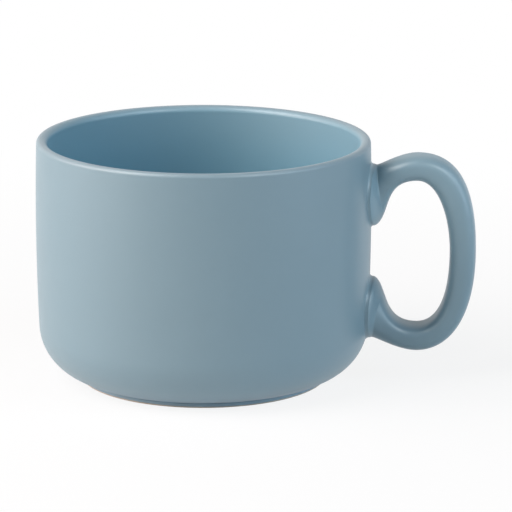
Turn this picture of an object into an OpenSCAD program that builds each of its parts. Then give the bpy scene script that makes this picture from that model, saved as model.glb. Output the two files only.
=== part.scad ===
// Soup mug: a low, wide stoneware cup with a loop handle on the +X side.
// Z is up, the axis of the cup is the Z axis and the foot ring stands on Z = 0. Lengths are in millimetres.
// The cup and the handle are fired clay. The handle's two feet stand on thin beds of joining slip, and
// a coat of glaze covers everything but the face that stands on the table.

/* [Cup] */
// Diameter at the widest place of the bowed wall, over the glaze
belly_d = 112.9; // [100:0.1:125]
// Height of the widest place above the table
belly_h = 55; // [45:0.5:65]
// Radius of the slight bow of the wall, from foot to rim
bow_r = 900; // [500:10:2000]
// Height of the rim above the table
cup_h = 82; // [76:0.5:100]
// Thickness of the wall, over the glaze
wall_t = 3.7; // [2.8:0.1:5]
// Thickness of the floor, over the glaze
floor_t = 5; // [3:0.1:8]
// Radius of the rounded heel between the wall and the underside
heel_r = 17.3; // [12:0.1:19]
// Radius inside, between the wall and the floor
inner_heel_r = 15; // [8:0.1:20]
// Width of the flat crest between the two rounded edges of the lip
lip_crest_w = 0.2; // [0.1:0.05:0.5]

/* [Foot] */
// Outer diameter of the foot ring
foot_d = 83.6; // [78:0.1:90]
// Width of the foot ring
foot_w = 4.6; // [3:0.1:8]
// Height of the lowest line of the heel above the table
heel_lift = 1.4; // [1.2:0.1:2]
// Depth of the recess inside the foot ring
recess_h = 2.2; // [1.8:0.1:3]
// Radius of the fillet between the foot ring and the heel
foot_fillet_r = 0.9; // [0.5:0.1:1.1]
// Radius of the fillet in the corner of the recess
recess_fillet_r = 1.1; // [0.5:0.1:1.2]
// Radius of the two worn edges of the foot ring
foot_edge_r = 0.4; // [0.2:0.05:0.45]

/* [Glaze] */
// Thickness of the glaze coat
glaze_t = 0.3; // [0.2:0.05:0.5]
// Height of the bare, wiped band of the foot ring
glaze_line_h = 0.5; // [0.45:0.05:0.6]

/* [Handle] */
// How far the handle stands out from the belly of the cup
handle_reach = 35.3; // [32:0.1:45]
// How far the top of the upper arm lies below the rim
handle_top_drop = 4.4; // [3:0.1:8]
// Height of the lowest place of the lower arm above the table
handle_base_h = 10.4; // [9:0.1:13]
// Thickness of the upright bar, seen from the side
bar_t = 8.8; // [7:0.1:11]
// Thickness of the two arms, seen from the side
arm_t = 8.6; // [7:0.1:11]
// Width of the bar and the arms, from face to face
bar_w = 14.4; // [11:0.1:16]
// How far from the belly the arms stand highest
crown_out = 15.5; // [13:0.1:18]
// How far the outer edge of an arm falls from its crown to its neck at the wall
neck_drop = 3.9; // [3:0.1:6]
// How far the neck lies from the belly
neck_out = 2.0; // [1.6:0.1:3]

/* [Handle feet] */
// Height of each foot on the wall, as a share of the height of the handle
pad_share = 0.305; // [0.26:0.005:0.33]
// Width of each foot on the wall
pad_w = 23.4; // [20:0.1:26]
// How far the face of a foot stands off the belly where it meets the arm
pad_out = 4.35; // [3.5:0.05:5.5]
// How far that place lies from the tip of the foot
pad_rise = 4.0; // [3:0.1:6]
// Radius of the slip fillet above and below each foot
bead_r = 1.1; // [0.6:0.1:1.5]
// Thickness of the bed of slip under each foot
slip_t = 0.6; // [0.4:0.05:0.7]

/* [Hidden] */

clay_color = [0.80, 0.76, 0.69];
slip_color = [0.72, 0.69, 0.64];
glaze_color = [0.50, 0.58, 0.64];

// Smoothness of revolved forms and the number of chords in each arc of an outline
$fn = 180;
arc_steps = 12;

// Bowed wall: one large circle, whose centre lies at belly height, far beyond the axis
belly_r = belly_d / 2;
bow_x = belly_r - bow_r;

// Lip: an outer and an inner edge round, both tangent to the wall, with the crest between them
lip_outer_share = 0.4;
lip_outer_r = (wall_t - lip_crest_w) * lip_outer_share;
lip_inner_r = (wall_t - lip_crest_w) * (1 - lip_outer_share);
lip_outer_z = cup_h - lip_outer_r;
lip_outer_x = bow_side(bow_r - lip_outer_r, lip_outer_z);
lip_outer_angle = bow_angle(lip_outer_x, lip_outer_z);
lip_inner_z = cup_h - lip_inner_r;
lip_inner_x = bow_side(bow_r - wall_t + lip_inner_r, lip_inner_z);
lip_inner_angle = bow_angle(lip_inner_x, lip_inner_z);

// Heel outside and inside, each tangent to its face of the wall
heel_z = heel_lift + heel_r;
heel_x = bow_side(bow_r - heel_r, heel_z);
heel_angle = bow_angle(heel_x, heel_z);
heel_top_z = heel_z + heel_r * sin(heel_angle);
floor_z = recess_h + floor_t;
inner_heel_z = floor_z + inner_heel_r;
inner_heel_x = bow_side(bow_r - wall_t - inner_heel_r, inner_heel_z);
inner_heel_angle = bow_angle(inner_heel_x, inner_heel_z);

// Foot ring, with a fillet that runs out into the heel
foot_r = foot_d / 2;
foot_inner_r = foot_r - foot_w;
foot_fillet_x = foot_r + foot_fillet_r;
foot_fillet_z = heel_z - sqrt(pow(heel_r + foot_fillet_r, 2) - pow(foot_fillet_x - heel_x, 2));
foot_fillet_angle = atan2(foot_fillet_z - heel_z, foot_fillet_x - heel_x);

// Handle: places are [distance from the axis of the cup, distance from the middle height of the handle]
section_sides = 28;
span_steps = 9;
bead_steps = 4;
bead_sweep = 65;
skirt_depth = 1.0;
handle_h = cup_h - handle_top_drop - handle_base_h;
handle_mid_h = handle_base_h + handle_h / 2;
bar_outer_x = belly_r + handle_reach;
bar_inner_x = bar_outer_x - bar_t;
crown_x = belly_r + crown_out;
crown_d = handle_h / 2;
crown_inner_d = crown_d - arm_t;
neck_x = belly_r + neck_out;
neck_d = crown_d - neck_drop;
tip_d = neck_d - handle_h * pad_share;
pad_x = belly_r + pad_out;
pad_d = tip_d + pad_rise;
pad_lean = pad_out / (crown_inner_d - pad_d);
root_x = belly_r + bead_r;
bar_half_w = bar_w / 2;
pad_half_w = pad_w / 2;

// Squareness of the section: a rounded oblong along the loop, close to an ellipse at the wall
bar_power = 3;
pad_power = 2.1;

// Shares of the run between two ends of a curve at which its inner poles lie.
// The bar has a pair for the upper side, whose shoulder is fuller, and a pair for the lower side.
upper_outer_shares = [0.70, 0.65];
upper_inner_shares = [0.51, 0.59];
lower_outer_shares = [0.67, 0.57];
lower_inner_shares = [0.60, 0.70];
arm_outer_shares = [0.41, 0.10];
arm_inner_shares = [0.78, 0.46];
root_inner_shares = [0.64, 0.32];
// Shares of the step from the half width of the bar to that of the foot.
// The upper neck is pinched in before its foot flares, and the lower one widens towards its foot.
upper_arm_width_shares = [0, 0, -0.25, -0.25];
upper_root_width_shares = [-0.25, -0.25, 0.65, 1];
lower_arm_width_shares = [0, 0, 0.06, 0.36];
lower_root_width_shares = [0.36, 0.48, 1, 1];
// Share of the slip fillet's spread that the sides of a foot get
bead_side_share = 0.1;

// Distance from the axis of a point at height z on a circle about the centre of the bow
function bow_side(r, z) = bow_x + sqrt(r * r - pow(z - belly_h, 2));

// Direction in which a point lies from the centre of the bow
function bow_angle(x, z) = atan2(z - belly_h, x - bow_x);

// Distance from the axis to the outer face of the wall at height z
function wall_r(z) =
    z < heel_top_z
        ? heel_x + sqrt(heel_r * heel_r - pow(heel_z - z, 2))
        : bow_side(bow_r, z);

// Points of an arc about a centre, from one angle to another
function arc(centre, r, from, to) = [
    for (i = [0:arc_steps])
        let (a = from + (to - from) * i / arc_steps)
        centre + r * [cos(a), sin(a)]
];

// Outer face of the cup, sunk by a depth, from the foot ring up to the crest of the lip
function outer_line(depth) = concat(
    [[foot_r - depth, glaze_line_h]],
    arc([foot_fillet_x, foot_fillet_z], foot_fillet_r + depth, 180, 180 + foot_fillet_angle),
    arc([heel_x, heel_z], heel_r - depth, foot_fillet_angle, heel_angle),
    arc([bow_x, belly_h], bow_r - depth, heel_angle, lip_outer_angle),
    arc([lip_outer_x, lip_outer_z], lip_outer_r - depth, lip_outer_angle, 90)
);

// Inner face of the cup, sunk by a depth, from the crest of the lip down to the axis at the floor
function inner_line(depth) = concat(
    [[lip_outer_x, cup_h - depth]],
    arc([lip_inner_x, lip_inner_z], lip_inner_r - depth, 90, 180 + lip_inner_angle),
    arc([bow_x, belly_h], bow_r - wall_t + depth, lip_inner_angle, inner_heel_angle),
    arc([inner_heel_x, inner_heel_z], inner_heel_r + depth, inner_heel_angle, -90),
    [[0, floor_z - depth]]
);

// Face of the recess under the floor, sunk by a depth, from the axis out to the bare band of the foot
function recess_line(depth) = concat(
    [[0, recess_h + depth]],
    arc(
        [foot_inner_r - recess_fillet_r, recess_h - recess_fillet_r],
        recess_fillet_r + depth,
        90,
        0
    ),
    [[foot_inner_r + depth, glaze_line_h]]
);

// Bare band of the foot ring, from its inner side round to its outer side
function foot_line() = concat(
    [[foot_inner_r, glaze_line_h]],
    arc([foot_inner_r + foot_edge_r, foot_edge_r], foot_edge_r, 180, 270),
    arc([foot_r - foot_edge_r, foot_edge_r], foot_edge_r, 270, 360),
    [[foot_r, glaze_line_h]]
);

// List in reverse order
function reversed(list) = [for (i = [len(list) - 1:-1:0]) list[i]];

// Point at share t of a cubic curve with four poles
function curve(poles, t) =
    pow(1 - t, 3) * poles[0]
    + 3 * pow(1 - t, 2) * t * poles[1]
    + 3 * (1 - t) * t * t * poles[2]
    + t * t * t * poles[3];

// Place at a share of the way from one place to another
function between(from, to, share) = from + (to - from) * share;

// Upright bar, from the middle of the handle to the crown of an arm: outer and inner edge
function bar_outer_poles(shares) = [
    [bar_outer_x, 0],
    [bar_outer_x, crown_d * shares[0]],
    [between(crown_x, bar_outer_x, shares[1]), crown_d],
    [crown_x, crown_d],
];
function bar_inner_poles(shares) = [
    [bar_inner_x, 0],
    [bar_inner_x, crown_inner_d * shares[0]],
    [between(crown_x, bar_inner_x, shares[1]), crown_inner_d],
    [crown_x, crown_inner_d],
];

// Arm, from its crown to its neck at the wall: outer edge falls to the neck, inner edge turns down the foot
function arm_outer_poles() = [
    [crown_x, crown_d],
    [between(crown_x, neck_x, arm_outer_shares[0]), crown_d],
    [between(neck_x, crown_x, arm_outer_shares[1]), neck_d],
    [neck_x, neck_d],
];
function arm_inner_poles() = [
    [crown_x, crown_inner_d],
    [between(crown_x, pad_x, arm_inner_shares[0]), crown_inner_d],
    [pad_x + pad_out * arm_inner_shares[1], between(pad_d, crown_inner_d, arm_inner_shares[1])],
    [pad_x, pad_d],
];

// Root of a foot, from the neck to the start of its slip fillet: straight above, rounded at the tip
function root_outer_poles() = [
    for (share = [0:1 / 3:1]) [between(neck_x, root_x, share), neck_d]
];
function root_inner_poles() = [
    [pad_x, pad_d],
    [pad_x - pad_lean * pad_rise * root_inner_shares[0], between(pad_d, tip_d, root_inner_shares[0])],
    [between(root_x, pad_x, root_inner_shares[1]), tip_d],
    [root_x, tip_d],
];

// Half width at share t of a stretch, from its four shares
function half_width(shares, t) = between(bar_half_w, pad_half_w, curve(shares, t));

// Stations along the upper half (1) or the lower half (-1) of the handle, from the middle to the slip fillet.
// Each holds an outer place, an inner place, a half width and the share by which it follows the wall.
function half_stations(side) = concat(
    [
        for (i = [0:span_steps - 1])
            let (
                t = i / span_steps,
                outer_shares = side > 0 ? upper_outer_shares : lower_outer_shares,
                inner_shares = side > 0 ? upper_inner_shares : lower_inner_shares
            )
            [
                curve(bar_outer_poles(outer_shares), t),
                curve(bar_inner_poles(inner_shares), t),
                bar_half_w,
                0,
            ]
    ],
    [
        for (i = [0:span_steps - 1])
            let (t = i / span_steps)
            [
                curve(arm_outer_poles(), t),
                curve(arm_inner_poles(), t),
                half_width(side > 0 ? upper_arm_width_shares : lower_arm_width_shares, t),
                t * t,
            ]
    ],
    [
        for (i = [0:span_steps - 1])
            let (t = i / span_steps)
            [
                curve(root_outer_poles(), t),
                curve(root_inner_poles(), t),
                half_width(side > 0 ? upper_root_width_shares : lower_root_width_shares, t),
                1,
            ]
    ]
);

// Station of a foot that stands off the wall by a height and is spread above and below by a width
function foot_station(height, spread) = [
    [belly_r + height, neck_d + spread],
    [belly_r + height, tip_d - spread],
    pad_half_w + spread * bead_side_share,
    1,
];

// Stations of the slip fillet: a concave round, then a straight skirt that runs on below the face of the wall
function bead_stations() = concat(
    [
        for (i = [0:bead_steps])
            let (a = bead_sweep * i / bead_steps)
            foot_station(bead_r * (1 - sin(a)), bead_r * (1 - cos(a)))
    ],
    [
        foot_station(
            -skirt_depth,
            bead_r * (1 - cos(bead_sweep))
            + (skirt_depth + bead_r * (1 - sin(bead_sweep))) * tan(bead_sweep)
        )
    ]
);

// Signed power that squares off a circle into the section of the handle
function section_round(value, power) = sign(value) * pow(abs(value), 2 / power);

// Ring of points round a station, on the upper side (1) or the lower side (-1), sunk by a depth
function ring(station, side, depth) =
    let (
        middle = (station[0] + station[1]) / 2,
        half = (station[0] - station[1]) / 2,
        sunk_half = half * (1 - depth / norm(half)),
        sunk_width = station[2] - depth,
        power = between(bar_power, pad_power, station[3])
    )
    [
        for (k = [0:section_sides - 1])
            let (
                a = 360 * k / section_sides,
                place = middle + sunk_half * section_round(cos(a), power),
                y = sunk_width * section_round(sin(a), power),
                z = handle_mid_h + side * place[1],
                fall = belly_r - wall_r(z) + place[0] - sqrt(place[0] * place[0] - y * y)
            )
            [place[0] - station[3] * fall, y, z]
    ];

// Rings of the whole handle, from the upper foot round to the lower foot
function handle_rings(depth) =
    let (
        upper = concat(half_stations(1), bead_stations()),
        lower = concat(half_stations(-1), bead_stations())
    )
    concat(
        [for (i = [len(upper) - 1:-1:1]) ring(upper[i], 1, depth)],
        [for (station = lower) ring(station, -1, depth)]
    );

// Rings of one slip fillet, in the order in which the whole handle runs
function bead_rings(side, depth) =
    let (stations = bead_stations())
    [for (station = side > 0 ? reversed(stations) : stations) ring(station, side, depth)];

// Middle of the points of a ring
function ring_middle(points) = [for (point = points) 1] * points / len(points);

// Triangles between neighbouring rings of a list, whose first point has the given number
function skin_faces(count, first) = [
    for (i = [0:count - 2], k = [0:section_sides - 1])
        let (
            next = (k + 1) % section_sides,
            here = first + i * section_sides,
            there = here + section_sides
        )
        each [
            [here + k, here + next, there + next],
            [here + k, there + next, there + k],
        ]
];

// Triangles from a ring to one point in its middle
function cap_faces(first, tip) = [
    for (k = [0:section_sides - 1])
        [first + (k + 1) % section_sides, first + k, tip]
];

// Triangles of the band between an outer ring and an inner ring
function band_faces(outer, inner) = [
    for (k = [0:section_sides - 1])
        let (next = (k + 1) % section_sides)
        each [
            [outer + next, outer + k, inner + k],
            [outer + next, inner + k, inner + next],
        ]
];

// Triangles that face the other way
function flipped(faces) = [for (face = faces) reversed(face)];

// Solid inside a list of rings
module swept_solid(rings) {
    count = len(rings);
    size = count * section_sides;
    polyhedron(
        points = concat(
            [for (one = rings) each one],
            [ring_middle(rings[0]), ring_middle(rings[count - 1])]
        ),
        faces = concat(
            skin_faces(count, 0),
            cap_faces(0, size),
            flipped(cap_faces(size - section_sides, size + 1))
        )
    );
}

// Tube between two lists of rings
module swept_tube(outer_rings, inner_rings) {
    count = len(outer_rings);
    size = count * section_sides;
    polyhedron(
        points = concat([for (one = outer_rings) each one], [for (one = inner_rings) each one]),
        faces = concat(
            skin_faces(count, 0),
            flipped(skin_faces(count, size)),
            band_faces(0, size),
            flipped(band_faces(size - section_sides, 2 * size - section_sides))
        )
    );
}

// Whole form of the cup without its hollow, sunk by a depth, which cuts the saddles of the feet
module cup_form(depth) {
    rotate_extrude()
        polygon(concat([[0, glaze_line_h]], outer_line(depth), [[0, cup_h - depth]]));
}

// Bed of slip under one foot: a slice of the flared root, from the clay wall up to the foot
module slip_bed(side) {
    difference() {
        intersection() {
            swept_solid(bead_rings(side, glaze_t));
            cup_form(glaze_t - slip_t);
        }
        cup_form(glaze_t);
    }
}

// Clay cup with its floor, lip and bare foot ring
module cup_body() {
    color(clay_color)
        rotate_extrude()
            polygon(concat(recess_line(glaze_t), foot_line(), outer_line(glaze_t), inner_line(glaze_t)));
}

// Clay loop, cut at both feet to the curve of the slip on the wall
module handle() {
    color(clay_color)
        difference() {
            swept_solid(handle_rings(glaze_t));
            cup_form(glaze_t - slip_t);
        }
}

// Slip under the upper foot
module upper_slip_joint() {
    color(slip_color)
        slip_bed(1);
}

// Slip under the lower foot
module lower_slip_joint() {
    color(slip_color)
        slip_bed(-1);
}

// Glaze of the inside, from the crest of the lip to the middle of the floor
module inside_glaze() {
    color(glaze_color)
        rotate_extrude()
            polygon(concat(inner_line(0), reversed(inner_line(glaze_t))));
}

// Glaze of the outside, from the foot ring to the crest of the lip, open where the two feet stand
module outside_glaze() {
    color(glaze_color)
        difference() {
            rotate_extrude()
                polygon(concat(outer_line(0), reversed(outer_line(glaze_t))));
            swept_solid(bead_rings(1, glaze_t));
            swept_solid(bead_rings(-1, glaze_t));
        }
}

// Glaze round the handle, from the wall at its upper foot to the wall at its lower foot
module handle_glaze() {
    color(glaze_color)
        difference() {
            swept_tube(handle_rings(0), handle_rings(glaze_t));
            cup_form(0);
        }
}

// Glaze of the recess under the floor
module base_glaze() {
    color(glaze_color)
        rotate_extrude()
            polygon(concat(reversed(recess_line(0)), recess_line(glaze_t)));
}

cup_body();
handle();
upper_slip_joint();
lower_slip_joint();
inside_glaze();
outside_glaze();
handle_glaze();
base_glaze();
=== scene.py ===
import bpy
import math
import numpy as np
from mathutils import Matrix, Vector


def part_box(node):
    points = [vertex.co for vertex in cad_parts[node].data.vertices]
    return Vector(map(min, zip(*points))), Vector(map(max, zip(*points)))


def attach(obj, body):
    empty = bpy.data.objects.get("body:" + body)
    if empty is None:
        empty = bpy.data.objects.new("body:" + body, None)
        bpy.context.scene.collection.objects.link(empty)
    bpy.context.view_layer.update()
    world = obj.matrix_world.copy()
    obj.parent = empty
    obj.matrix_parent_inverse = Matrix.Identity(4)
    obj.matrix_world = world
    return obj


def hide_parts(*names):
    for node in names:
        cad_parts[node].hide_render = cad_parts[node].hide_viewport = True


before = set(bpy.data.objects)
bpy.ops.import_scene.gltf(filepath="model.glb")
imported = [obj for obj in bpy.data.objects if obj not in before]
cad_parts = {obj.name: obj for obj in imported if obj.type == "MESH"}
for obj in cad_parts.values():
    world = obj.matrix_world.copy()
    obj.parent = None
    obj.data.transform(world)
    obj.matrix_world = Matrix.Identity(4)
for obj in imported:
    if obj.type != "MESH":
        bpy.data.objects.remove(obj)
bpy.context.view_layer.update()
print("frame loaded:", len(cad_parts), "nodes")

# sizes of the cup in metres; belly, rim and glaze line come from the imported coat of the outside
coatLow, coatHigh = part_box("outside_glaze")
cup = {
    "bellyR": min(-coatLow.x, -coatLow.y, coatHigh.y),     # widest radius of the bowed wall
    "bellyH": 0.055,            # height of the widest place
    "bowR": 0.900,              # radius of the bow, foot to rim
    "rimH": coatHigh.z,
    "wallT": 0.0037,            # clay with both coats
    "floorT": 0.0050,
    "heelR": 0.0173,            # round between wall and underside
    "innerHeelR": 0.0150,       # round between wall and floor, inside
    "lipCrestW": 0.0002,        # flat between the lip's two rounds
    "lipOuterShare": 0.4,       # share of the lip's round that lies outside
    "footR": 0.0418,            # outer radius of the foot ring
    "footW": 0.0046,
    "heelLift": 0.0014,         # lowest place of the heel's circle
    "recessH": 0.0022,
    "footFilletR": 0.0009,
    "recessFilletR": 0.0011,
    "footEdgeR": 0.0004,
    "glazeT": 0.0003,
    "glazeLineH": coatLow.z,    # bare band below this height
    "turns": 360,               # steps round the axis
    "fine": 1.0,                # points per degree of a heel that shows
    "coarse": 0.2,              # the same on a face that the coat hides
    "lipPart": 3,               # smaller rounds get one in so many of those points
    "filletPart": 4,
    "edgePart": 6,
    "fineBow": 36,              # points along a bow that shows
    "coarseBow": 10,
    "floorPoints": 14,
    "recessPoints": 12,
}
nearAxis = 1e-9     # a profile point nearer than this lies on the axis


# radius at height z on a circle about the centre of the bow: x = cx + sqrt(r^2 - (z - bellyH)^2)
def bowSide(radius, z):
    return cup["bellyR"] - cup["bowR"] + np.sqrt(radius ** 2 - (z - cup["bellyH"]) ** 2)


# direction of a place from the centre of the bow, in degrees
def bowAngle(x, z):
    return math.degrees(math.atan2(z - cup["bellyH"], x - cup["bellyR"] + cup["bowR"]))


# circle points: centre + radius * (cos a, sin a), angle a running evenly from one end to the other
def arcLine(centre, radius, fromDeg, toDeg, perDegree, least=6):
    count = max(least, int(abs(toDeg - fromDeg) * perDegree))
    a = np.radians(np.linspace(fromDeg, toDeg, count + 1))
    return np.column_stack([centre[0] + radius * np.cos(a), centre[1] + radius * np.sin(a)])


# places of the cup's rounds: each centre lies so that its circle touches the wall's bow
wall = {}
wall["bowC"] = (cup["bellyR"] - cup["bowR"], cup["bellyH"])
wall["lipR"] = (cup["wallT"] - cup["lipCrestW"]) * cup["lipOuterShare"]
wall["lipInR"] = (cup["wallT"] - cup["lipCrestW"]) * (1 - cup["lipOuterShare"])
wall["lipZ"] = cup["rimH"] - wall["lipR"]
wall["lipX"] = float(bowSide(cup["bowR"] - wall["lipR"], wall["lipZ"]))
wall["lipInZ"] = cup["rimH"] - wall["lipInR"]
wall["lipInX"] = float(bowSide(cup["bowR"] - cup["wallT"] + wall["lipInR"], wall["lipInZ"]))
wall["heelZ"] = cup["heelLift"] + cup["heelR"]
wall["heelX"] = float(bowSide(cup["bowR"] - cup["heelR"], wall["heelZ"]))
wall["heelA"] = bowAngle(wall["heelX"], wall["heelZ"])
wall["heelTop"] = wall["heelZ"] + cup["heelR"] * math.sin(math.radians(wall["heelA"]))
wall["floorZ"] = cup["recessH"] + cup["floorT"]
wall["inHeelZ"] = wall["floorZ"] + cup["innerHeelR"]
wall["inHeelX"] = float(bowSide(cup["bowR"] - cup["wallT"] - cup["innerHeelR"], wall["inHeelZ"]))
wall["footInR"] = cup["footR"] - cup["footW"]
wall["filletX"] = cup["footR"] + cup["footFilletR"]
wall["filletZ"] = wall["heelZ"] - math.sqrt(
    (cup["heelR"] + cup["footFilletR"]) ** 2 - (wall["filletX"] - wall["heelX"]) ** 2)
wall["filletA"] = math.degrees(
    math.atan2(wall["filletZ"] - wall["heelZ"], wall["filletX"] - wall["heelX"]))


# radius of the outer face at height z: the heel's circle below its top, the bow above it
def wallR(z):
    heel = wall["heelX"] + np.sqrt(np.maximum(cup["heelR"] ** 2 - (wall["heelZ"] - z) ** 2, 0.0))
    return np.where(z < wall["heelTop"], heel, bowSide(cup["bowR"], z))


# outer face sunk by a depth, foot ring to crest: foot fillet, heel, bow and outer lip, end to end
def outerLine(depth, perDegree, bowCount):
    lipA = bowAngle(wall["lipX"], wall["lipZ"])
    bowRate = bowCount / abs(lipA - wall["heelA"])
    return np.vstack([
        [[cup["footR"] - depth, cup["glazeLineH"]]],
        arcLine((wall["filletX"], wall["filletZ"]), cup["footFilletR"] + depth,
                180, 180 + wall["filletA"], perDegree / cup["filletPart"]),
        arcLine((wall["heelX"], wall["heelZ"]), cup["heelR"] - depth,
                wall["filletA"], wall["heelA"], perDegree)[1:],
        arcLine(wall["bowC"], cup["bowR"] - depth, wall["heelA"], lipA, bowRate)[1:],
        arcLine((wall["lipX"], wall["lipZ"]), wall["lipR"] - depth,
                lipA, 90, perDegree / cup["lipPart"])[1:],
    ])


# inner face sunk by a depth, crest to axis: inner lip, bow, inner heel and flat floor, end to end
def innerLine(depth, perDegree, bowCount):
    lipA = bowAngle(wall["lipInX"], wall["lipInZ"])
    heelA = bowAngle(wall["inHeelX"], wall["inHeelZ"])
    bowRate = bowCount / abs(lipA - heelA)
    floor = np.linspace(wall["inHeelX"], 0.0, cup["floorPoints"])[1:]
    return np.vstack([
        [[wall["lipX"], cup["rimH"] - depth]],
        arcLine((wall["lipInX"], wall["lipInZ"]), wall["lipInR"] - depth,
                90, 180 + lipA, perDegree / cup["lipPart"]),
        arcLine(wall["bowC"], cup["bowR"] - cup["wallT"] + depth, lipA, heelA, bowRate)[1:],
        arcLine((wall["inHeelX"], wall["inHeelZ"]), cup["innerHeelR"] + depth, heelA, -90, perDegree)[1:],
        np.column_stack([floor, np.full(len(floor), wall["floorZ"] - depth)]),
    ])


# recess under the floor sunk by a depth, axis to the bare band: flat ceiling, round corner, short wall
def recessLine(depth, perDegree):
    centre = (wall["footInR"] - cup["recessFilletR"], cup["recessH"] - cup["recessFilletR"])
    ceiling = np.linspace(0.0, centre[0], cup["recessPoints"])[:-1]
    return np.vstack([
        np.column_stack([ceiling, np.full(len(ceiling), cup["recessH"] + depth)]),
        arcLine(centre, cup["recessFilletR"] + depth, 90, 0, perDegree / cup["filletPart"]),
        [[wall["footInR"] + depth, cup["glazeLineH"]]],
    ])


# bare band of the foot: two small edge rounds with the flat standing face between them
def footLine(perDegree):
    edge, rate = cup["footEdgeR"], perDegree / cup["edgePart"]
    return np.vstack([
        [[wall["footInR"], cup["glazeLineH"]]],
        arcLine((wall["footInR"] + edge, edge), edge, 180, 270, rate),
        arcLine((cup["footR"] - edge, edge), edge, 270, 360, rate),
        [[cup["footR"], cup["glazeLineH"]]],
    ])


# puts points and faces into a new object; edges over sharpDeg, as where a coat is cut, stay crisp
def makePiece(name, points, quads, triangles, sharpDeg=40.0):
    mesh = bpy.data.meshes.new(name)
    mesh.from_pydata(points.tolist(), [], quads.tolist() + triangles.tolist())
    mesh.validate()
    mesh.shade_smooth()
    mesh.set_sharp_from_angle(angle=math.radians(sharpDeg))
    piece = bpy.data.objects.new(name, mesh)
    bpy.context.scene.collection.objects.link(piece)
    print(name, len(mesh.vertices), "points", len(mesh.polygons), "faces")
    return piece


# turned form: (r cos t, r sin t, z) for every profile point and every angle t.
# a profile that starts and ends on the axis gets one point at each pole, any other is a closed ring
def turnProfile(profile, turns):
    onAxis = abs(profile[0, 0]) < nearAxis and abs(profile[-1, 0]) < nearAxis
    rim = profile[1:-1] if onAxis else profile
    t = np.linspace(0.0, 2 * math.pi, turns, endpoint=False)[:, None]
    r, z = rim[None, :, 0], rim[None, :, 1]
    points = np.stack([r * np.cos(t), r * np.sin(t), np.broadcast_to(z, (turns, len(rim)))], -1)
    count = len(rim)
    runs = count - 1 if onAxis else count
    i, j = np.meshgrid(np.arange(turns), np.arange(runs), indexing="ij")
    iNext, jNext = (i + 1) % turns, (j + 1) % count
    quads = np.stack([i * count + j, iNext * count + j, iNext * count + jNext, i * count + jNext], -1)
    points = points.reshape(-1, 3)
    triangles = np.zeros((0, 3), int)
    if onAxis:
        first, last = len(points), len(points) + 1
        points = np.vstack([points, [[0, 0, profile[0, 1]], [0, 0, profile[-1, 1]]]])
        k = np.arange(turns)
        kNext = (k + 1) % turns
        triangles = np.vstack([
            np.column_stack([np.full(turns, first), kNext * count, k * count]),
            np.column_stack([np.full(turns, last), k * count + count - 1, kNext * count + count - 1]),
        ])
    return points, quads.reshape(-1, 4), triangles


# one turned piece; the profile runs with the solid on its left, so the faces point outwards
def turnedPiece(name, profile):
    return makePiece(name, *turnProfile(profile, cup["turns"]))


# each coat is its face and the clay's face under it; the clay is every face under a coat and the bare foot
fine, coarse = cup["fine"], cup["coarse"]
fineBow, coarseBow = cup["fineBow"], cup["coarseBow"]
depth = cup["glazeT"]
outerClay, innerClay = outerLine(depth, coarse, coarseBow), innerLine(depth, coarse, coarseBow)
recessClay = recessLine(depth, coarse)
outsideCoat = turnedPiece("outsideCoat", np.vstack([outerLine(0.0, fine, fineBow), outerClay[::-1]]))
insideCoat = turnedPiece("insideCoat", np.vstack([innerClay[::-1], innerLine(0.0, fine, fineBow)]))
baseCoat = turnedPiece("baseCoat", np.vstack([recessLine(0.0, fine), recessClay[::-1]]))
clayCup = turnedPiece("clayCup", np.vstack([recessClay, footLine(fine), outerClay, innerClay]))

# sizes of the handle in metres; reach and height come from its packed coat
handleLow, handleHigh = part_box("handle_glaze")
handle = {
    "reach": handleHigh.x,                                  # outermost place
    "topD": (handleHigh.z - handleLow.z) / 2,               # crown above the middle
    "midH": (handleHigh.z + handleLow.z) / 2,
    "barT": 0.0088,             # upright bar, outside to inside
    "armT": 0.0086,             # arm, crown to underside
    "barW": 0.0144,
    "crownOut": 0.0155,         # highest place of the arm, beyond the belly
    "neckDrop": 0.0039,         # neck below the crown
    "neckOut": 0.0020,
    "padShare": 0.305,          # height of a foot, as a share of the height of the handle
    "padW": 0.0234,
    "padOut": 0.00435,          # where the arm's underside turns into the foot, beyond the belly
    "padRise": 0.0040,          # the same place, back from the foot's tip
    "beadR": 0.0011,            # slip fillet at the wall
    "beadSweep": 65.0,          # its sweep in degrees
    "sideShare": 0.1,           # share of it that the sides of a foot get
    "skirt": 0.00015,           # how far the coat's edge sinks into the wall's coat
    "barPower": 3.0,            # squareness of the section along the loop
    "padPower": 2.1,            # the same at the wall
    "barOuter": {1: (0.70, 0.65), -1: (0.67, 0.57)},    # shares that place the inner poles of each curve,
    "barInner": {1: (0.51, 0.59), -1: (0.60, 0.70)},    # upper side and lower side
    "armOuter": (0.41, 0.10),
    "armInner": (0.78, 0.46),
    "rootInner": (0.64, 0.32),
    "armWidth": {1: (0.0, 0.0, -0.25, -0.25), -1: (0.0, 0.0, 0.06, 0.36)},     # the upper neck is pinched
    "rootWidth": {1: (-0.25, -0.25, 0.65, 1.0), -1: (0.36, 0.48, 1.0, 1.0)},
    "steps": 44,                # stations along each curve
    "beadSteps": 14,
    "sides": 96,                # points round the section
}


# cubic curve: (1-t)^3 p0 + 3(1-t)^2 t p1 + 3(1-t) t^2 p2 + t^3 p3
def curve(poles, t):
    poles, t = np.asarray(poles, float).reshape(4, -1), t[:, None]
    return ((1 - t) ** 3 * poles[0] + 3 * (1 - t) ** 2 * t * poles[1]
            + 3 * (1 - t) * t ** 2 * poles[2] + t ** 3 * poles[3])


# share of the way from low to high
def between(low, high, share):
    return low + (high - low) * share


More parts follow.
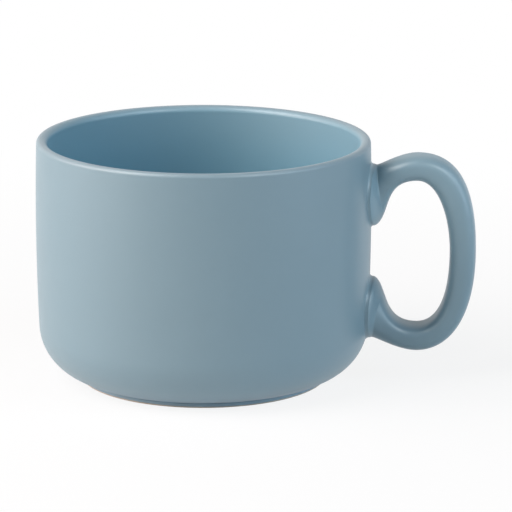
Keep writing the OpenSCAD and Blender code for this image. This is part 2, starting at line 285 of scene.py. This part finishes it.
# stations of one half of the handle, middle to wall: outer edge, inner edge, half width, hold of the wall.
# edges are (distance from the axis, distance from the middle height); side is 1 above and -1 below
def handleStations(side):
    h, belly = handle, cup["bellyR"]
    barOut, barIn = h["reach"], h["reach"] - h["barT"]
    crownX, crownD, crownInD = belly + h["crownOut"], h["topD"], h["topD"] - h["armT"]
    neckX, neckD = belly + h["neckOut"], h["topD"] - h["neckDrop"]
    tipD = neckD - 2 * h["topD"] * h["padShare"]
    padX, padD, rootX = belly + h["padOut"], tipD + h["padRise"], belly + h["beadR"]
    lean = h["padOut"] / (crownInD - padD)      # slope at which arm and foot meet
    noseD = h["padRise"] * h["rootInner"][0]
    barHalf, padHalf = h["barW"] / 2, h["padW"] / 2
    t = np.linspace(0.0, 1.0, h["steps"], endpoint=False)
    flat = np.ones(len(t))

    # half width between the bar's and the foot's
    def width(shares):
        return between(barHalf, padHalf, curve(shares, t)[:, 0])

    outerShare, innerShare = h["barOuter"][side], h["barInner"][side]
    bar = (
        curve([[barOut, 0], [barOut, crownD * outerShare[0]],
               [between(crownX, barOut, outerShare[1]), crownD], [crownX, crownD]], t),
        curve([[barIn, 0], [barIn, crownInD * innerShare[0]],
               [between(crownX, barIn, innerShare[1]), crownInD], [crownX, crownInD]], t),
        flat * barHalf, flat * 0)
    arm = (
        curve([[crownX, crownD], [between(crownX, neckX, h["armOuter"][0]), crownD],
               [between(neckX, crownX, h["armOuter"][1]), neckD], [neckX, neckD]], t),
        curve([[crownX, crownInD], [between(crownX, padX, h["armInner"][0]), crownInD],
               [padX + h["padOut"] * h["armInner"][1], between(padD, crownInD, h["armInner"][1])],
               [padX, padD]], t),
        width(h["armWidth"][side]), t * t)
    root = (
        np.column_stack([between(neckX, rootX, t), flat * neckD]),
        curve([[padX, padD], [padX - noseD * lean, padD - noseD],
               [between(rootX, padX, h["rootInner"][1]), tipD], [rootX, tipD]], t),
        width(h["rootWidth"][side]), flat)
    # slip fillet: a concave quarter that spreads as it nears the wall, then a short straight skirt
    a = np.radians(np.linspace(0.0, h["beadSweep"], h["beadSteps"]))
    height = np.append(h["beadR"] * (1 - np.sin(a)), -h["skirt"])
    spread = h["beadR"] * (1 - np.cos(a))
    spread = np.append(spread, spread[-1] + (height[-2] + h["skirt"]) * math.tan(a[-1]))
    bead = (
        np.column_stack([belly + height, neckD + spread]),
        np.column_stack([belly + height, tipD - spread]),
        padHalf + spread * h["sideShare"], np.ones(len(height)))
    return [np.concatenate(part) for part in zip(bar, arm, root, bead)]


# signed power: squares a circle's sine or cosine into the section
def squared(value, power):
    return np.sign(value) * np.abs(value) ** power


# rings round the stations: middle + half * |cos a|^(2/p) across, halfWidth * |sin a|^(2/p) sideways,
# then pulled in by the fall of the wall where the station holds to it
def sideRings(side, sink):
    outer, inner, half, hold = handleStations(side)
    a = np.linspace(0.0, 2 * math.pi, handle["sides"], endpoint=False)[None, :]
    power = 2 / between(handle["barPower"], handle["padPower"], hold)[:, None]
    middle, reach = (outer + inner) / 2, (outer - inner) / 2
    reach = reach * (1 - sink / np.linalg.norm(reach, axis=1))[:, None]
    place = middle[:, None, :] + reach[:, None, :] * squared(np.cos(a), power)[..., None]
    y = (half - sink)[:, None] * squared(np.sin(a), power)
    z = handle["midH"] + side * place[..., 1]
    fall = cup["bellyR"] - wallR(z) + place[..., 0] - np.sqrt(place[..., 0] ** 2 - y ** 2)
    return np.stack([place[..., 0] - hold[:, None] * fall, y, z], -1)


# both halves in one run, upper foot to lower foot, with the ring in the middle once
def handleRings(sink):
    return np.concatenate([sideRings(1, sink)[:0:-1], sideRings(-1, sink)])


# tube between outer rings and inner rings: a skin each, joined by a band at both ends
def tubeFaces(rings, sides):
    i, k = np.meshgrid(np.arange(rings - 1), np.arange(sides), indexing="ij")
    kNext = (k + 1) % sides
    skin = np.stack([i * sides + k, (i + 1) * sides + k, (i + 1) * sides + kNext, i * sides + kNext], -1)
    skin = skin.reshape(-1, 4)
    size = rings * sides
    e, eNext = np.arange(sides), (np.arange(sides) + 1) % sides
    start = np.column_stack([e, eNext, size + eNext, size + e])
    last = size - sides
    end = np.column_stack([last + eNext, last + e, size + last + e, size + last + eNext])
    return np.vstack([skin, skin[:, ::-1] + size, start, end])


outerRings, innerRings = handleRings(0.0), handleRings(depth)
handleCoat = makePiece(
    "handleCoat",
    np.concatenate([outerRings, innerRings]).reshape(-1, 3),
    tubeFaces(len(outerRings), handle["sides"]),
    np.zeros((0, 3), int))

# looks: colours are linear, scales count in one metre, and two heights say where a tone starts and is full
outerLook = {
    "base": (0.184, 0.278, 0.328, 1.0),
    "deep": (0.177, 0.269, 0.318, 1.0),
    "thin": (0.245, 0.326, 0.372, 1.0),     # where the glaze runs thin on the lip, lighter also as a painted highlight
    "lip": (cup["rimH"] - 0.0016, cup["rimH"] + 0.0006),
    "paintedHeelShade": (0.105, 0.205, 0.275, 1.0),   # painted shade: darker under the heel, where shade falls
    "heel": (0.0072, 0.0020),
    "wiped": (0.260, 0.380, 0.460, 1.0),    # painted light: paler round the foot, lifting the shade on the foot band
    "foot": (0.0017, 0.0011),
    "roughness": (0.37, 0.43),
    "specular": 0.55,
    "cloudScale": 38.0,
    "cloudDetail": 3.0,
    "patchScale": 70.0,
    "patchDetail": 2.0,
    "waveScale": 55.0,      # soft unevenness left by the hand
    "waveDetail": 1.0,
    "wave": 0.10,
    "waveH": 0.0006,
    "grainScale": 900.0,
    "grainDetail": 2.0,
    "grain": 0.05,
    "grainH": 0.0002,
}
# inside: a lighter, bluer copy of the glaze, painted light for how light falls in the hollow; it turns
# greyer towards the lip
innerLook = dict(
    outerLook,
    base=(0.184, 0.366, 0.466, 1.0),
    deep=(0.178, 0.356, 0.454, 1.0),
    upper=(0.205, 0.360, 0.442, 1.0),
    shoulder=(cup["rimH"] - 0.0260, cup["rimH"] - 0.0010))
# on the handle: painted light, the upper arm lighter where more light falls than on the lower one
handleLook = dict(
    outerLook,
    base=(0.176, 0.275, 0.330, 1.0),
    deep=(0.170, 0.266, 0.320, 1.0),
    upper=(0.206, 0.316, 0.374, 1.0),
    shoulder=(0.030, 0.068),
    waveScale=110.0,
    wave=0.25)
clayLook = {
    "base": (0.600, 0.530, 0.440, 1.0),
    "dark": (0.480, 0.410, 0.330, 1.0),
    "speckScale": 1400.0,
    "speckDetail": 2.0,
    "patchScale": 200.0,
    "patchDetail": 2.0,
    "roughness": (0.78, 0.92),
    "grain": 0.3,
    "grainH": 0.0002,
}
slipLook = dict(clayLook, base=(0.480, 0.440, 0.370, 1.0), dark=(0.420, 0.380, 0.320, 1.0), grain=0.15)


# an empty material: its shader, and coordinates in metres that stay with the piece
def newMaterial(name):
    material = bpy.data.materials.new(name)
    material.use_nodes = True
    tree = material.node_tree
    shader = tree.nodes["Principled BSDF"]
    coordinates = tree.nodes.new("ShaderNodeTexCoord")
    return material, tree, shader, coordinates


# soft noise through the piece, for one kind of mark of a look
def addNoise(tree, coordinates, look, kind):
    noise = tree.nodes.new("ShaderNodeTexNoise")
    noise.inputs["Scale"].default_value = look[kind + "Scale"]
    noise.inputs["Detail"].default_value = look[kind + "Detail"]
    tree.links.new(coordinates.outputs["Object"], noise.inputs["Vector"])
    return noise.outputs["Fac"]


# low colour where the factor is 0, high where it is 1; a colour mix has them at inputs 6 and 7
def addMix(tree, factor, low, high):
    mix = tree.nodes.new("ShaderNodeMix")
    mix.data_type = "RGBA"
    mix.inputs[6].default_value = low
    mix.inputs[7].default_value = high
    tree.links.new(factor, mix.inputs[0])
    return mix


# tilts the shading by the slope of a height
def addBump(tree, height, strength, distance):
    bump = tree.nodes.new("ShaderNodeBump")
    bump.inputs["Strength"].default_value = strength
    bump.inputs["Distance"].default_value = distance
    tree.links.new(height, bump.inputs["Height"])
    return bump


# patches a little rougher or smoother than the rest
def addGloss(tree, coordinates, look, shader):
    patches = addNoise(tree, coordinates, look, "patch")
    gloss = tree.nodes.new("ShaderNodeMapRange")
    gloss.inputs["To Min"].default_value, gloss.inputs["To Max"].default_value = look["roughness"]
    tree.links.new(patches, gloss.inputs["Value"])
    tree.links.new(gloss.outputs["Result"], shader.inputs["Roughness"])


# a soft step of the height: nothing at the first of two heights, all at the second
def addHeight(tree, coordinates, heights):
    axes = tree.nodes.new("ShaderNodeSeparateXYZ")
    tree.links.new(coordinates.outputs["Object"], axes.inputs[0])
    step = tree.nodes.new("ShaderNodeMapRange")
    step.interpolation_type = "SMOOTHSTEP"
    step.inputs["From Min"].default_value, step.inputs["From Max"].default_value = heights
    tree.links.new(axes.outputs["Z"], step.inputs["Value"])
    return step.outputs["Result"]


# lays another colour over the one so far, by height; output 2 of a colour mix is its colour
def addBand(tree, coordinates, heights, below, band):
    mix = addMix(tree, addHeight(tree, coordinates, heights), band, band)
    tree.links.new(below.outputs[2], mix.inputs[6])
    return mix


# cloudy colour with a band for each height at which it changes, uneven gloss, slow waves and a fine grain
def satinGlaze(name, look):
    material, tree, shader, coordinates = newMaterial(name)
    clouds = addNoise(tree, coordinates, look, "cloud")
    colour = addMix(tree, clouds, look["deep"], look["base"])
    # upper band: inside, greyer towards the lip; on the handle, painted light on the upper arm
    if "upper" in look:
        colour = addBand(tree, coordinates, look["shoulder"], colour, look["upper"])
    # partly painted highlight: the lip band is lighter
    colour = addBand(tree, coordinates, look["lip"], colour, look["thin"])
    # painted shade: darker under the heel
    colour = addBand(tree, coordinates, look["heel"], colour, look["paintedHeelShade"])
    # painted light: paler round the foot
    colour = addBand(tree, coordinates, look["foot"], colour, look["wiped"])
    tree.links.new(colour.outputs[2], shader.inputs["Base Color"])
    addGloss(tree, coordinates, look, shader)
    shader.inputs["Specular IOR Level"].default_value = look["specular"]
    waves = addNoise(tree, coordinates, look, "wave")
    uneven = addBump(tree, waves, look["wave"], look["waveH"])
    grain = addNoise(tree, coordinates, look, "grain")
    bump = addBump(tree, grain, look["grain"], look["grainH"])
    tree.links.new(uneven.outputs["Normal"], bump.inputs["Normal"])
    tree.links.new(bump.outputs["Normal"], shader.inputs["Normal"])
    return material


# fine light and dark grains, dry and without gloss
def bareClay(name, look):
    material, tree, shader, coordinates = newMaterial(name)
    specks = addNoise(tree, coordinates, look, "speck")
    colour = addMix(tree, specks, look["dark"], look["base"])
    tree.links.new(colour.outputs[2], shader.inputs["Base Color"])
    addGloss(tree, coordinates, look, shader)
    bump = addBump(tree, specks, look["grain"], look["grainH"])
    tree.links.new(bump.outputs["Normal"], shader.inputs["Normal"])
    return material


glaze = satinGlaze("satinGlaze", outerLook)
innerGlaze = satinGlaze("innerGlaze", innerLook)
handleGlaze = satinGlaze("handleGlaze", handleLook)
clay = bareClay("bareClay", clayLook)
slip = bareClay("firedSlip", slipLook)
print("glaze, clay and slip made")

# every piece rides on the one body and stands for its node
dressed = [
    (outsideCoat, "outside_glaze", "glaze", glaze),
    (insideCoat, "inside_glaze", "glaze", innerGlaze),
    (baseCoat, "base_glaze", "glaze", glaze),
    (handleCoat, "handle_glaze", "glaze", handleGlaze),
    (clayCup, "cup_body", "stoneware", clay),
]
for piece, node, slot, material in dressed:
    piece.data.materials.append(material)
    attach(piece, "root")
    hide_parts(node)
# what stays as the CAD drew it, under the glaze
for node, material in (("handle", clay), ("upper_slip_joint", slip), ("lower_slip_joint", slip)):
    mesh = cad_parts[node].data
    mesh.materials.clear()
    mesh.materials.append(material)
print("pieces dressed")

# the photograph's view: a long lens, a little above the rim, with the handle turned slightly to the lens
view = {
    "distance": 1.2,
    "elevation": 14.075,    # degrees
    "turn": 3.0,
    "roll": 0.201,
    "aimOut": 0.017663,     # the point looked at, out towards the handle
    "aimUp": 0.041259,
    "lens": 249.71,         # mm, for a sensor of this width
    "sensor": 36.0,
    "near": 0.05,           # nothing nearer than this is shown
}


# camera axes from azimuth, elevation and roll, about a point on the line of the handle
def setCamera():
    turn, lift, roll = (math.radians(view[k]) for k in ("turn", "elevation", "roll"))
    across = Vector((math.cos(turn), math.sin(turn), 0.0))
    ahead = Vector((-math.sin(turn) * math.cos(lift), math.cos(turn) * math.cos(lift), -math.sin(lift)))
    above = across.cross(ahead)
    right = across * math.cos(roll) + above * math.sin(roll)
    up = above * math.cos(roll) - across * math.sin(roll)
    aim = across * view["aimOut"] + Vector((0, 0, view["aimUp"]))
    data = bpy.data.cameras.new("camera")
    data.lens = view["lens"]
    data.sensor_width = view["sensor"]
    data.clip_start = view["near"]
    camera = bpy.data.objects.new("camera", data)
    bpy.context.scene.collection.objects.link(camera)
    rotation = Matrix((right, up, -ahead)).transposed().to_4x4()
    camera.matrix_world = Matrix.Translation(aim - ahead * view["distance"]) @ rotation
    bpy.context.scene.camera = camera


setCamera()

# soft studio light. turn counts from the lens towards the handle, lift from the level, both in degrees
lamps = {
    "key": {"turn": -60.0, "lift": 50.0, "size": 0.9, "power": 7.0, "tint": (1.0, 1.0, 1.0)},
    "window": {"turn": -60.0, "lift": 25.0, "size": 0.9, "power": 8.3, "tint": (1.0, 0.89, 0.82)},
    "side": {"turn": -90.0, "lift": 20.0, "size": 0.9, "power": 9.1, "tint": (1.0, 0.81, 0.77)},
    "fill": {"turn": 68.0, "lift": 21.0, "size": 1.1, "power": 9.3, "tint": (0.71, 0.87, 1.0)},
    "keyCard": {"turn": -62.0, "lift": 50.0, "size": 0.7, "power": 6.0, "tint": (1.0, 1.0, 1.0)},
    "fillCard": {"turn": 40.0, "lift": 40.0, "size": 0.5, "power": 5.2, "tint": (1.0, 1.0, 1.0)},
}
cards = ("keyCard", "fillCard")     # these show in the gloss of the glaze alone
lampDistance = 1.2


# round lamps that face the middle of the cup from their turn and lift
def setLamps():
    middle = Vector((0.0, 0.0, cup["rimH"] / 2))
    for name, lamp in lamps.items():
        data = bpy.data.lights.new(name, "AREA")
        data.shape = "DISK"
        data.size = lamp["size"]
        data.energy = lamp["power"]
        data.color = lamp["tint"]
        light = bpy.data.objects.new(name, data)
        light.visible_diffuse = name not in cards
        light.visible_camera = False
        bpy.context.scene.collection.objects.link(light)
        turn = math.radians(view["turn"] + lamp["turn"])
        lift = math.radians(lamp["lift"])
        away = Vector((math.sin(turn) * math.cos(lift), -math.cos(turn) * math.cos(lift), math.sin(lift)))
        facing = away.to_track_quat("Z", "Y").to_matrix().to_4x4()
        light.matrix_world = Matrix.Translation(middle + away * lampDistance) @ facing


setLamps()

room = {
    "tint": (1.0, 1.0, 1.0, 1.0),
    "light": 0.055,     # what it gives to the mug
    "white": 1.0,       # how it looks
}


# the largest of three: is the ray from the lens, from a gloss, or through something clear
def seenRays(tree):
    path = tree.nodes.new("ShaderNodeLightPath")
    seen = path.outputs["Is Camera Ray"]
    for kind in ("Is Glossy Ray", "Is Transmission Ray"):
        either = tree.nodes.new("ShaderNodeMath")
        either.operation = "MAXIMUM"
        tree.links.new(seen, either.inputs[0])
        tree.links.new(path.outputs[kind], either.inputs[1])
        seen = either.outputs[0]
    return seen


# white to the lens and in reflections, little light for everything else
def setRoom():
    world = bpy.data.worlds.new("room")
    world.use_nodes = True
    world.cycles.sampling_method = "NONE"
    bpy.context.scene.world = world
    tree = world.node_tree
    white = tree.nodes["Background"]
    white.inputs["Color"].default_value = room["tint"]
    white.inputs["Strength"].default_value = room["white"]
    dim = tree.nodes.new("ShaderNodeBackground")
    dim.inputs["Color"].default_value = room["tint"]
    dim.inputs["Strength"].default_value = room["light"]
    mix = tree.nodes.new("ShaderNodeMixShader")
    tree.links.new(seenRays(tree), mix.inputs[0])
    tree.links.new(dim.outputs[0], mix.inputs[1])
    tree.links.new(white.outputs[0], mix.inputs[2])
    tree.links.new(mix.outputs[0], tree.nodes["World Output"].inputs["Surface"])


setRoom()

floorLook = {
    "half": 3.0,
    "colour": (0.92, 0.92, 0.92, 1.0),
    "roughness": 0.9,
    "specular": 0.0,
    "white": 0.86,              # share of it that looks white by itself
    "fade": (0.08, 0.36),       # the shadow fades out between these distances from the middle
}


# pale floor; to the lens most of it glows white, and all of it further off, so that only the shadow shows
def setFloor():
    half = floorLook["half"]
    corners = [(-half, -half, 0), (half, -half, 0), (half, half, 0), (-half, half, 0)]
    mesh = bpy.data.meshes.new("floor")
    mesh.from_pydata(corners, [], [(0, 1, 2, 3)])
    floor = bpy.data.objects.new("floor", mesh)
    bpy.context.scene.collection.objects.link(floor)
    material, tree, shader, coordinates = newMaterial("paleFloor")
    shader.inputs["Base Color"].default_value = floorLook["colour"]
    shader.inputs["Roughness"].default_value = floorLook["roughness"]
    shader.inputs["Specular IOR Level"].default_value = floorLook["specular"]
    glow = tree.nodes.new("ShaderNodeEmission")
    away = tree.nodes.new("ShaderNodeVectorMath")
    away.operation = "LENGTH"
    tree.links.new(coordinates.outputs["Object"], away.inputs[0])
    fade = tree.nodes.new("ShaderNodeMapRange")
    fade.interpolation_type = "SMOOTHSTEP"
    fade.inputs["From Min"].default_value, fade.inputs["From Max"].default_value = floorLook["fade"]
    fade.inputs["To Min"].default_value, fade.inputs["To Max"].default_value = floorLook["white"], 1.0
    tree.links.new(away.outputs["Value"], fade.inputs["Value"])
    share = tree.nodes.new("ShaderNodeMath")
    share.operation = "MULTIPLY"
    tree.links.new(seenRays(tree), share.inputs[0])
    tree.links.new(fade.outputs["Result"], share.inputs[1])
    mix = tree.nodes.new("ShaderNodeMixShader")
    tree.links.new(share.outputs[0], mix.inputs[0])
    tree.links.new(shader.outputs[0], mix.inputs[1])
    tree.links.new(glow.outputs[0], mix.inputs[2])
    tree.links.new(mix.outputs[0], tree.nodes["Material Output"].inputs["Surface"])
    material.cycles.emission_sampling = "NONE"
    mesh.materials.append(material)


setFloor()
bpy.context.scene.view_settings.view_transform = "Standard"
print("camera, lamps and floor set")
